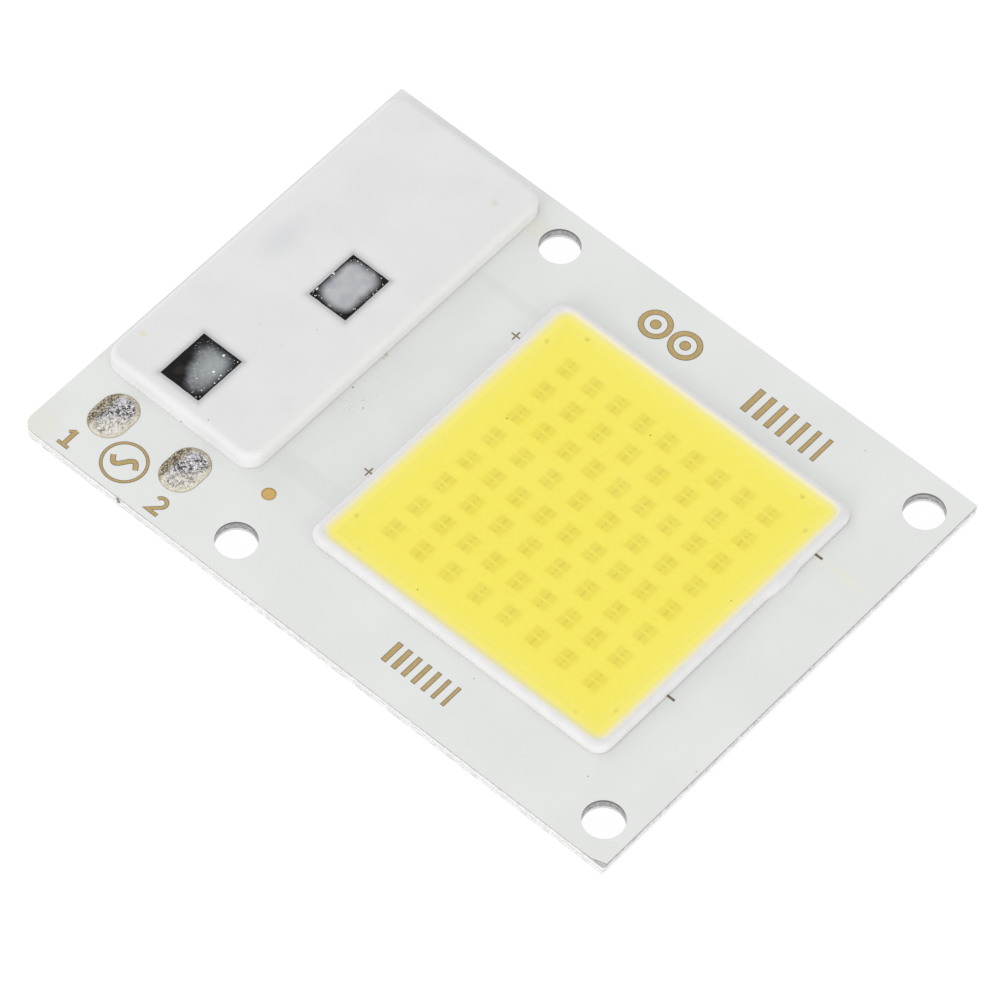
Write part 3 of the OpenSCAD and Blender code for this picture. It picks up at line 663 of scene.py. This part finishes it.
def spread(half, step, band, fine):
    """Places from -half to half, closer together in a band at both ends."""
    inner = half - band
    count = max(2, math.ceil(2 * inner / step))
    places = [inner * (2 * i / count - 1) for i in range(count + 1)]
    count = math.ceil(band / fine)
    ends = [inner + band * i / count for i in range(1, count + 1)]
    return [-place for place in reversed(ends)] + places + ends


def slab(outline, low, high):
    """Closed solid under a flat outline."""
    count = len(outline)
    vertices = [(x, y, high) for x, y in outline] + [(x, y, low) for x, y in outline]
    faces = [tuple(range(count)), tuple(range(2 * count - 1, count - 1, -1))]
    for i in range(count):
        j = (i + 1) % count
        faces.append((i, i + count, j + count, j))
    return vertices, faces


def ribbon(points, width, low, high, closed=False):
    """Closed solid of even width along a flat line."""
    count = len(points)
    sides = []
    for i in range(count):
        here = Vector(points[i])
        ways = []
        if closed or i > 0:
            ways.append((here - Vector(points[i - 1])).normalized())
        if closed or i < count - 1:
            ways.append((Vector(points[(i + 1) % count]) - here).normalized())
        way = sum(ways, Vector((0, 0))).normalized()
        # A mitre, which stays short at a sharp corner
        stretch = 1 / max(way.dot(ways[0]), 0.4)
        normal = Vector((-way.y, way.x)) * width / 2 * stretch
        sides.append((here + normal, here - normal))
    vertices = []
    for left, right in sides:
        vertices += [(*left, high), (*right, high), (*right, low), (*left, low)]
    faces = []
    for i in range(count if closed else count - 1):
        a, b = 4 * i, 4 * ((i + 1) % count)
        for k in range(4):
            m = (k + 1) % 4
            faces.append((a + k, a + m, b + m, b + k))
    if not closed:
        end = 4 * (count - 1)
        faces += [(3, 2, 1, 0), (end, end + 1, end + 2, end + 3)]
    return vertices, faces


def join(shapes):
    vertices, faces = [], []
    for more_vertices, more_faces in shapes:
        start = len(vertices)
        vertices += more_vertices
        faces += [tuple(i + start for i in face) for face in more_faces]
    return vertices, faces


def arc(centre, radius, start, end, steps=24):
    """Points along an arc, angles in degrees."""
    points = []
    for i in range(steps + 1):
        angle = math.radians(start + (end - start) * i / steps)
        points.append((centre[0] + radius * math.cos(angle), centre[1] + radius * math.sin(angle)))
    return points


def circle(centre, radius, steps=48):
    return arc(centre, radius, 0, 360, steps)[:-1]


def rectangle(centre, half):
    corners = ((-1, -1), (1, -1), (1, 1), (-1, 1))
    return [(centre[0] + x * half[0], centre[1] + y * half[1]) for x, y in corners]


def lumps(x, y, size, seed):
    """Smooth noise of about -1 to 1 at a place, lumps about size millimetres across."""
    return noise.noise(Vector((x / (size * MM), y / (size * MM), seed * 7.31)))


# ---- Solder ----

def solder_crown(name, node, material, seed):
    """Solder that was tinned by hand over one wire pad."""
    low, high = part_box(node)
    centre, half = middle(low, high), half_size(low, high)
    crown = high.z - mask_top
    fullness = 0.72
    lip = 0.22 * MM
    # Depth and size of each layer of lumps, in millimetres
    relief = ((0.055, 0.55), (0.045, 0.22), (0.022, 0.1))

    def height(x, y, edge):
        share = min(edge / half.x, 1.0)
        dome = math.sqrt(max(0.0, 1 - (1 - share) ** 2)) * crown * fullness
        rough = min(edge / lip, 1.0)
        bumps = sum(depth * lumps(x, y, size, seed + order) for order, (depth, size) in enumerate(relief))
        level = dome + bumps * MM * rough
        return mask_top - 0.02 * MM * (1 - rough) + max(min(level, crown), -0.01 * MM)

    made = piece(name, *patch(centre, half, half.x, 0.045 * MM, height), material, "solder")
    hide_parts(node)


# ---- Light field ----

def gel_sheet(material):
    """Gel's surface: flat, then a film up the dam's inner slope to its crest."""
    flat = gel_high.z - 0.012 * MM
    film = 0.006 * MM
    radius = 0.66 * MM + FILM_LAP

    def height(x, y, edge):
        edge -= FILM_LAP
        sag = 0.015 * MM * lumps(x, y, 5, 3) * min(max(edge, 0.0) / (2 * MM), 1.0)
        climb = 0.03 * MM * math.exp(-max(edge - CREST_STEP, 0.0) / (0.25 * MM))
        bead = 0.0
        if edge < BEAD_RADIUS:
            bead = BEAD_AXIS + math.sqrt(BEAD_RADIUS ** 2 - edge ** 2) + film
        return max(flat + sag + climb, bead)

    shape = patch(GEL_CENTRE, FILM_HALF, radius, 0.3 * MM, height, 1.0 * MM, 0.06 * MM)
    made = piece("phosphor_surface", *shape, material, "phosphor")
    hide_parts("phosphor_gel")
    made.visible_shadow = False
    made.visible_diffuse = False


def sediment_sheet(material):
    """Phosphor that settled round the dies."""
    half = DAM_HALF - mm(0.7, 0.7)

    def height(x, y, edge):
        return mask_top + (0.045 + 0.012 * lumps(x, y, 0.5, 5)) * MM

    shape = patch(GEL_CENTRE, half, 0.5 * MM, 0.25 * MM, height)
    piece("phosphor_sediment", *shape, material, "phosphor")


def die_places():
    """Middle of each die's top, and +1 or -1 for the side of its dotted electrode."""
    for row, node in enumerate(die_rows):
        low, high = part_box(node)
        # Every second row has one die fewer
        count = LONG_ROW - row % 2
        for die in range(count):
            x = low.x + DIE_WIDTH / 2 + (high.x - low.x - DIE_WIDTH) * die / (count - 1)
            yield Vector((x, (low.y + high.y) / 2, high.z)), (1 if (row + die) % 2 == 0 else -1)


def die_faces(plain, dotted, dots):
    """Electrodes of the dies: one half has a dot on each side of a pale middle, the other a bar."""
    plain_shapes, dotted_shapes, dot_shapes = [], [], []
    for top, side in die_places():
        low, high, raised = top.z - SUNK, top.z + LAYER, top.z + 2 * LAYER
        ring = (top.x, top.y + side * ELECTRODE_STEP)
        bar = (top.x, top.y - side * ELECTRODE_STEP)
        dotted_shapes.append(slab(rectangle(ring, ELECTRODE_HALF), low, high))
        plain_shapes.append(slab(rectangle(bar, ELECTRODE_HALF), low, high))
        for end in (-1, 1):
            spot = (ring[0], ring[1] + end * DOT_STEP)
            dot_shapes.append(slab(circle(spot, DOT_RADIUS, 16), low, raised))
        dot_shapes.append(slab(rectangle(bar, BAR_HALF), low, raised))
    piece("die_bar_electrodes", *join(plain_shapes), plain, "die", smooth=False)
    piece("die_dot_electrodes", *join(dotted_shapes), dotted, "die", smooth=False)
    piece("die_contact_pillars", *join(dot_shapes), dots, "die", smooth=False)


def bond_spots(material):
    """Marks that the dies were placed by, dark through the phosphor."""
    low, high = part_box("die_bond_marks")
    centre = middle(low, high)
    far = half_size(low, high) - Vector((1, 1, 0)) * BOND_RADIUS
    under, over = mask_top + 0.03 * MM, mask_top + 0.075 * MM
    shapes = []
    for side_x in (-1, 1):
        for side_y in (-1, 1):
            for step in ((0.0, BOND_STEP), (BOND_STEP, 0.0)):
                spot = (centre.x + side_x * (far.x - step[0]), centre.y + side_y * (far.y - step[1]))
                shapes.append(slab(circle(spot, BOND_RADIUS * 0.9, 20), under, over))
    piece("bond_mark_spots", *join(shapes), material, "gilt", smooth=False)


# ---- Gilt marks in the mask ----

def gilt_mark(name, lines=(), areas=(), material=gilt, rim=RIM_WIDTH):
    """Mark left open in the mask, of lines (points, width, closed) and filled outlines, edged by a dark rim
    of painted shade where the mask steps down.
    """
    shapes, rims = [], []
    for order, (points, width, closed) in enumerate(lines):
        # Each stroke lies a little higher than the last, so that crossing strokes don't share a face
        step = 0.001 * MM * (order % 3)
        low, high = mask_top - SUNK - step, mask_top + step
        shapes.append(ribbon(points, width, low, high + GILT_HIGH, closed))
        rims.append(ribbon(points, width + 2 * rim, low, high + RIM_HIGH, closed))
    for outline in areas:
        shapes.append(slab(outline, mask_top - SUNK, mask_top + GILT_HIGH))
        rims.append(ribbon(outline, 2 * rim, mask_top - SUNK, mask_top + RIM_HIGH, True))
    piece(name, *join(shapes), material, "gilt", smooth=False)
    piece(name + "_rim", *join(rims), mark_edge_shade, "gilt", smooth=False)


def raster(corner, size):
    """Turns shares of a numeral's height into places."""
    return lambda x, y: (corner.x + size * x, corner.y + size * y)


def numeral_one(corner, size):
    """Numeral 1 with a foot, from its lower left corner."""
    at = raster(corner, size)
    stem = [at(0.36, 0), at(0.36, 1)]
    flag = [at(0.36, 0.97), at(0.1, 0.74)]
    foot = [at(0.04, 0.06), at(0.68, 0.06)]
    strokes = ((stem, 0.17), (flag, 0.1), (foot, 0.11))
    gilt_mark("numeral_1", [(points, size * width, False) for points, width in strokes])


def numeral_two(corner, size):
    """Numeral 2, from its lower left corner."""
    at = raster(corner, size)
    curve = arc(at(0.36, 0.68), size * 0.26, 165, -30, 20) + [at(0.1, 0.07), at(0.68, 0.07)]
    gilt_mark("numeral_2", [(curve, size * 0.13, False)])


def source_symbol(centre):
    """Symbol of an alternating supply: a sine wave in a circle."""
    radius = 1.65 * MM
    wave = []
    for i in range(33):
        share = i / 32 * 2 - 1
        wave.append((centre.x + share * radius * 0.62, centre.y + radius * 0.3 * math.sin(math.pi * share)))
    gilt_mark("supply_symbol", [(circle(centre, radius), 0.14 * MM, True), (wave, 0.3 * MM, False)])


def registration_targets(places):
    """Rings round a dot, by which the artwork is laid on the board."""
    lines = [(circle(centre, 1.06 * MM), 0.34 * MM, True) for centre in places]
    areas = [circle(centre, 0.36 * MM, 32) for centre in places]
    gilt_mark("registration_targets", lines, areas)


def etch_bars(name, start, size, step):
    """Row of narrowing bars, which shows how the copper was etched."""
    count, narrowing = 7, 0.07
    areas = []
    for i in range(count):
        half = (size[0] / 2 * (1 - narrowing * i), size[1] / 2)
        areas.append(rectangle(start + Vector((i * step, 0, 0)), half))
    gilt_mark(name, (), areas)


def polarity_marks():
    """Plus and minus strokes by the dam."""
    arm, stroke = 0.42 * MM, 0.085 * MM

    def bar(place, x, y):
        return [(place.x - x, place.y - y), (place.x + x, place.y + y)], stroke, False

    lines = []
    for place in (from_corner(20.6, 29.1), from_corner(20.7, 13.4)):
        lines += [bar(place, arm, 0), bar(place, 0, arm)]
    gilt_mark("plus_marks", lines, (), mark_pale, 0.02 * MM)
    lines = [bar(place, arm, 0) for place in (from_corner(48.46, 29.2), from_corner(48.46, 13.4))]
    gilt_mark("minus_marks", lines, (), mark_dark)


def fiducial_ring(material):
    """Shaded edge of the mask's opening round the fiducial."""
    low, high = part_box("fiducial_pad")
    line = circle(middle(low, high), (high.x - low.x) / 2 - 0.02 * MM)
    ring = ribbon(line, 0.06 * MM, mask_top - SUNK, mask_top + RIM_HIGH, True)
    piece("fiducial_rim", *ring, material, "gilt", smooth=False)


# ---- Resin and dirt ----

def creep_ring(name, low, high, seed):
    """Skin of potting that crept up to the edge of a package's top."""
    centre, half = middle(low, high), top_half(low, high)
    steps = 220
    vertices, faces = [], []
    for i in range(steps):
        angle = 2 * math.pi * i / steps
        way = Vector((math.cos(angle), math.sin(angle)))
        reach = min(half.x / max(abs(way.x), 1e-6), half.y / max(abs(way.y), 1e-6))
        edge = way * reach
        ragged = 0.012 + 0.02 * lumps(edge.x, edge.y, 0.5, seed)
        # Distance outside the edge in millimetres, and height
        profile = (
            (0.25, block_high.z - 0.004 * MM),
            (0.06, block_high.z + 0.01 * MM),
            (0.01, high.z + 0.002 * MM),
            (-max(ragged, 0.002), high.z + 0.003 * MM),
        )
        for out, z in profile:
            share = 1 + out * MM / reach
            vertices.append((centre.x + edge.x * share, centre.y + edge.y * share, z))
    ring = len(profile)
    for i in range(steps):
        a, b = ring * i, ring * ((i + 1) % steps)
        for k in range(ring - 1):
            faces.append((a + k, b + k, b + k + 1, a + k + 1))
    piece(name, vertices, faces, potting, "potting")


def crumb(centre, radius, seed, flat):
    """Irregular grain, flattened against what it lies on."""
    vertices, faces = [], []
    rings, spokes = 4, 7
    for ring in range(1, rings):
        polar = math.pi * ring / rings
        for spoke in range(spokes):
            angle = 2 * math.pi * spoke / spokes
            flank = math.sin(polar)
            way = Vector((flank * math.cos(angle), flank * math.sin(angle), math.cos(polar)))
            size = radius * (1 + 0.45 * noise.noise(way * 1.7 + Vector((seed * 3.7, seed, 0))))
            vertices.append(centre + Vector((way.x, way.y, way.z * flat)) * size)
    top = len(vertices)
    vertices += [centre + Vector((0, 0, end * radius * flat)) for end in (1, -1)]
    last = (rings - 2) * spokes
    for spoke in range(spokes):
        after = (spoke + 1) % spokes
        faces.append((top, spoke, after))
        for ring in range(rings - 2):
            a, b = ring * spokes, (ring + 1) * spokes
            faces.append((a + spoke, b + spoke, b + after, a + after))
        faces.append((top + 1, last + after, last + spoke))
    return vertices, faces


def scatter(name, places, material, slot=None, flat=0.3):
    """Grains lying at (place, radius) pairs."""
    shapes = [crumb(place, radius, seed, flat) for seed, (place, radius) in enumerate(places)]
    piece(name, *join(shapes), material, slot)


def package_dust(name, low, high, bright, count, seed):
    """Grains of white dust on a package's top: some at given places, more along its sides."""
    centre, half = middle(low, high), top_half(low, high)
    places = [(Vector((centre.x + x * MM, centre.y + y * MM, high.z)), size * MM) for x, y, size in bright]
    chance = Random(seed)
    for i in range(count):
        side, inward = chance.uniform(-0.9, 0.9), 1 - chance.uniform(0.04, 0.16)
        spot = (side, inward) if i % 2 else (inward, side)
        sign = chance.choice((-1, 1))
        place = Vector((centre.x + spot[0] * half.x * sign, centre.y + spot[1] * half.y * sign, high.z))
        places.append((place, chance.uniform(0.025, 0.05) * MM))
    scatter(name, places, dust, "potting")


def specks(*spots):
    """Places and radii of specks on the mask, from millimetres."""
    return [(from_corner(x, y), size * MM) for x, y, size in spots]


def block_dirt():
    """Specks that were lying on the potting as it set."""
    places = specks(
        (10.1, 8.35, 0.07), (8.8, 6.95, 0.05), (7.25, 16.85, 0.05), (10.55, 19.2, 0.05), (9.6, 16.5, 0.04),
    )
    for place, size in places:
        place.z = block_high.z - 0.3 * size
    scatter("potting_specks", places, dirt, flat=0.5)


def foot_dirt(resin):
    """Dust against the driver's foot, specks on the mask, and two crumbs of cured resin."""
    chance = Random(12)
    places = []
    for _ in range(46):
        spot = from_corner(15.3 + abs(chance.gauss(0, 0.7)), chance.gauss(17.2, 1.7))
        places.append((spot, chance.uniform(0.015, 0.032) * MM))
    places += specks(
        (15.05, 18.0, 0.07), (16.76, 17.16, 0.06), (37.5, 5.48, 0.05),
        (48.47, 4.78, 0.05), (45.19, 38.27, 0.05), (53.7, 10.06, 0.05),
    )
    scatter("mask_dust", places, dirt)
    scatter("resin_crumb", specks((14.95, 21.65, 0.14), (15.0, 21.3, 0.07)), resin, "potting")


def gel_dirt(material):
    """Specks on the phosphor."""
    places = specks((25.1, 22.98, 0.06), (33.46, 28.7, 0.055), (30.02, 8.01, 0.05), (46.66, 21.94, 0.05))
    for place, _ in places:
        place.z = gel_high.z
    scatter("phosphor_specks", places, material)


def edge_nick():
    """Torn burr on the near edge, where dark grains are painted shade for its hollow."""
    places = []
    for x, z, size in ((9.2, 0.8, 0.11), (9.3, 0.62, 0.13), (9.24, 0.42, 0.08), (9.38, 0.5, 0.06)):
        places += specks((x, -0.01, size))
        places[-1][0].z = z * MM
    # The dark dirt grains here are painted shade standing in for the nick's hollow
    scatter("edge_nick", places, dirt, flat=1.0)


# ---- Scene ----

def floor_shape():
    """Floor, open under the plate, which would share its height, with islands under the holes."""
    reach = 3.0
    inset = mm(0.03, 0.03)
    low, high = board_low + inset, board_high - inset
    cut = 1.2 * MM
    points, faces = [], []
    ways = ((1, 0), (0, 1), (-1, 0), (0, -1))
    for turn, (x, y) in enumerate(((low.x, low.y), (high.x, low.y), (high.x, high.y), (low.x, high.y))):
        last, way, start, after = ways[turn - 1], ways[turn], 3 * turn, 3 * ((turn + 1) % 4)
        points += [
            (math.copysign(reach, x), math.copysign(reach, y), 0),
            (x - cut * last[0], y - cut * last[1], 0),
            (x + cut * way[0], y + cut * way[1], 0),
        ]
        faces += [(start, start + 2, start + 1), (start, after, after + 1, start + 2)]
    for column in HOLE_COLUMNS:
        for y in (-HOLE_ROW, HOLE_ROW):
            island = circle((from_corner(column, 0).x, y), HOLE_RADIUS + 0.02 * MM, 96)
            faces.append(tuple(range(len(points), len(points) + len(island))))
            points += [(*point, 0) for point in island]
    return points, faces


def build_floor():
    """Pale floor that shows white to the camera and keeps a faint shadow."""
    points, faces = floor_shape()
    mesh = bpy.data.meshes.new("studio_floor")
    mesh.from_pydata(points, [], faces)
    floor = bpy.data.objects.new("studio_floor", mesh)
    bpy.context.scene.collection.objects.link(floor)
    s = Shader("studio_paper")
    paper = s.node("ShaderNodeBsdfDiffuse", {"Color": s.mix(s.noise(400), grey(250), grey(252))})
    # Nearly white by itself where the camera sees it, so that only a faint shadow is left
    glow = s.node("ShaderNodeEmission", {"Color": grey(255), "Strength": 1.06})
    path = s.node("ShaderNodeLightPath").outputs
    mirrored = s.math("MAXIMUM", path["Is Glossy Ray"], path["Is Transmission Ray"])
    seen = s.math("MAXIMUM", path["Is Camera Ray"], mirrored)
    blend = s.node("ShaderNodeMixShader", {0: s.product(seen, 0.85)})
    s.tree.links.new(paper.outputs[0], blend.inputs[1])
    s.tree.links.new(glow.outputs[0], blend.inputs[2])
    mesh.materials.append(s.end(blend))


def build_light():
    """White surroundings, and three soft square lamps."""
    world = bpy.data.worlds.new("studio")
    world.use_nodes = True
    background = world.node_tree.nodes["Background"]
    background.inputs["Color"].default_value = grey(255)
    background.inputs["Strength"].default_value = 0.81
    bpy.context.scene.world = world
    away = 1.5
    lamps = (
        ("key", (0.0, -0.34, 0.08), 9.0),
        ("fill", (0.24, 0.0, 0.05), 6.3),
        ("far", (-0.2, 0.04, 0.05), 5.4),
    )
    for name, way, energy in lamps:
        lamp = bpy.data.lights.new(name, "AREA")
        lamp.shape = "SQUARE"
        lamp.size = 1.0
        lamp.energy = energy
        lit = bpy.data.objects.new(name, lamp)
        way = Vector(way).normalized()
        lit.location = way * away
        lit.rotation_euler = way.to_track_quat("Z", "Y").to_euler()
        bpy.context.scene.collection.objects.link(lit)


def build_camera():
    """Long lens, above the board's +X, -Y corner, held slightly askew."""
    azimuth, elevation, roll = math.radians(38.913), math.radians(55.879), math.radians(2.94)
    distance = 541.34 * MM
    target = Vector((2.084 * MM, -2.208 * MM, mask_top))
    level = math.cos(elevation)
    back = Vector((level * math.sin(azimuth), -level * math.cos(azimuth), math.sin(elevation)))
    right = Vector((math.cos(azimuth), math.sin(azimuth), 0))
    up = back.cross(right)
    tilted_right = right * math.cos(roll) + up * math.sin(roll)
    tilted_up = back.cross(tilted_right)
    data = bpy.data.cameras.new("camera")
    data.lens = 279.02
    data.sensor_width = 36
    data.clip_start = 0.01
    camera = bpy.data.objects.new("camera", data)
    turn = Matrix((tilted_right, tilted_up, back)).transposed()
    camera.matrix_world = Matrix.Translation(target + back * distance) @ turn.to_4x4()
    bpy.context.scene.collection.objects.link(camera)
    bpy.context.scene.camera = camera


bpy.context.scene.view_settings.view_transform = "Standard"
build_floor()
build_light()
build_camera()

dress(aluminium_finish(), "aluminium_base")
dress(dielectric_finish(), "dielectric_layer")
dress(mask_finish(), "solder_mask")
dress(potting, "potting_block")
dress(grained("white_silicone", rgb(224, 223, 223), rgb(228, 227, 227), 1.2, 2.0, 0.5, 0.008,
              Specular_IOR_Level=SOFT_GLOSS), "dam_ring")
dress(copper_finish(), *(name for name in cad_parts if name.endswith("_copper")))
dress(gilt, "die_bond_marks", "die_contacts")
dress(plated("bare_gilt", rgb(200, 162, 88), rgb(218, 181, 108)), "fiducial_pad")
dress(hidden("tinned_lead", rgb(170, 172, 176), rgb(206, 207, 210), 0.35, 1.0),
      "rectifier_leads", "regulator_leads", "sense_resistor_caps", "fuse_resistor_caps")
dress(hidden("joint_solder", rgb(160, 160, 164), rgb(200, 200, 202), 0.4, 1.0), "component_solder")
dress(hidden("resistor_ceramic", rgb(40, 40, 44), rgb(64, 64, 68), 0.5, 0.0),
      "sense_resistor_body", "fuse_resistor_body")
dress(grained("die_sapphire", rgb(228, 212, 72), rgb(237, 222, 90), 0.25, 4.0, 0.6, 0.005), *die_rows)
dress(regulator_finish(), "regulator_body")
dress(rectifier_finish(), "rectifier_body")

# Places from a package's middle and sizes in millimetres, then how many more grains
package_dust("regulator_dust", *regulator,
             ((-1.6, -1.64, 0.09), (-1.66, 0.16, 0.08), (-1.1, 2.1, 0.05)), 22, 3)
package_dust("rectifier_dust", *rectifier,
             ((0.5, 1.81, 0.1), (0.91, 0.29, 0.1), (1.5, 0.39, 0.07), (1.6, 0.09, 0.06), (1.62, -0.39, 0.06),
              (1.37, -1.44, 0.06), (0.42, -0.94, 0.06), (1.6, 2.05, 0.05)), 8, 8)

for pole, seed in (("live", 11), ("neutral", 23)):
    pad = pole + "_solder_pad"
    solder_crown(pole + "_pad_solder", pad, solder_finish(pole + "_solder", *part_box(pad)), seed)

gel_sheet(gel_finish())
sediment_sheet(grained("phosphor_sediment", rgb(240, 226, 84), rgb(248, 236, 108), 0.25, 4.0, 0.8, 0.02))
die_faces(
    plated("bar_electrode", rgb(200, 172, 36), rgb(210, 184, 44)),
    plated("dot_electrode", rgb(204, 179, 40), rgb(214, 191, 48)),
    plated("contact_pillar", rgb(134, 100, 6), rgb(150, 114, 12)),
)
bond_spots(plated("bond_mark", rgb(116, 92, 16), rgb(138, 112, 26)))

numeral_one(from_corner(2.75, 0.57), 1.6 * MM)
numeral_two(from_corner(11.2, 0.57), 1.6 * MM)
source_symbol(from_corner(7.55, 2.45))
registration_targets([from_corner(27.25, 36.55), from_corner(30.0, 36.55)])
etch_bars("etch_bars_far", from_corner(36.6, 36.2), mm(0.42, 2.2), 1.05 * MM)
etch_bars("etch_bars_near", from_corner(31.9, 3.3), mm(0.35, 1.8), 0.9 * MM)
polarity_marks()
fiducial_ring(plated("fiducial_edge", rgb(164, 136, 90), rgb(186, 160, 112)))

creep_ring("regulator_creep", *regulator, 31)
creep_ring("rectifier_creep", *rectifier, 37)

block_dirt()
foot_dirt(powder("resin_crumb", rgb(196, 190, 168), rgb(214, 209, 190)))
gel_dirt(powder("embedded_dirt", rgb(140, 118, 40), rgb(166, 142, 54)))
edge_nick()
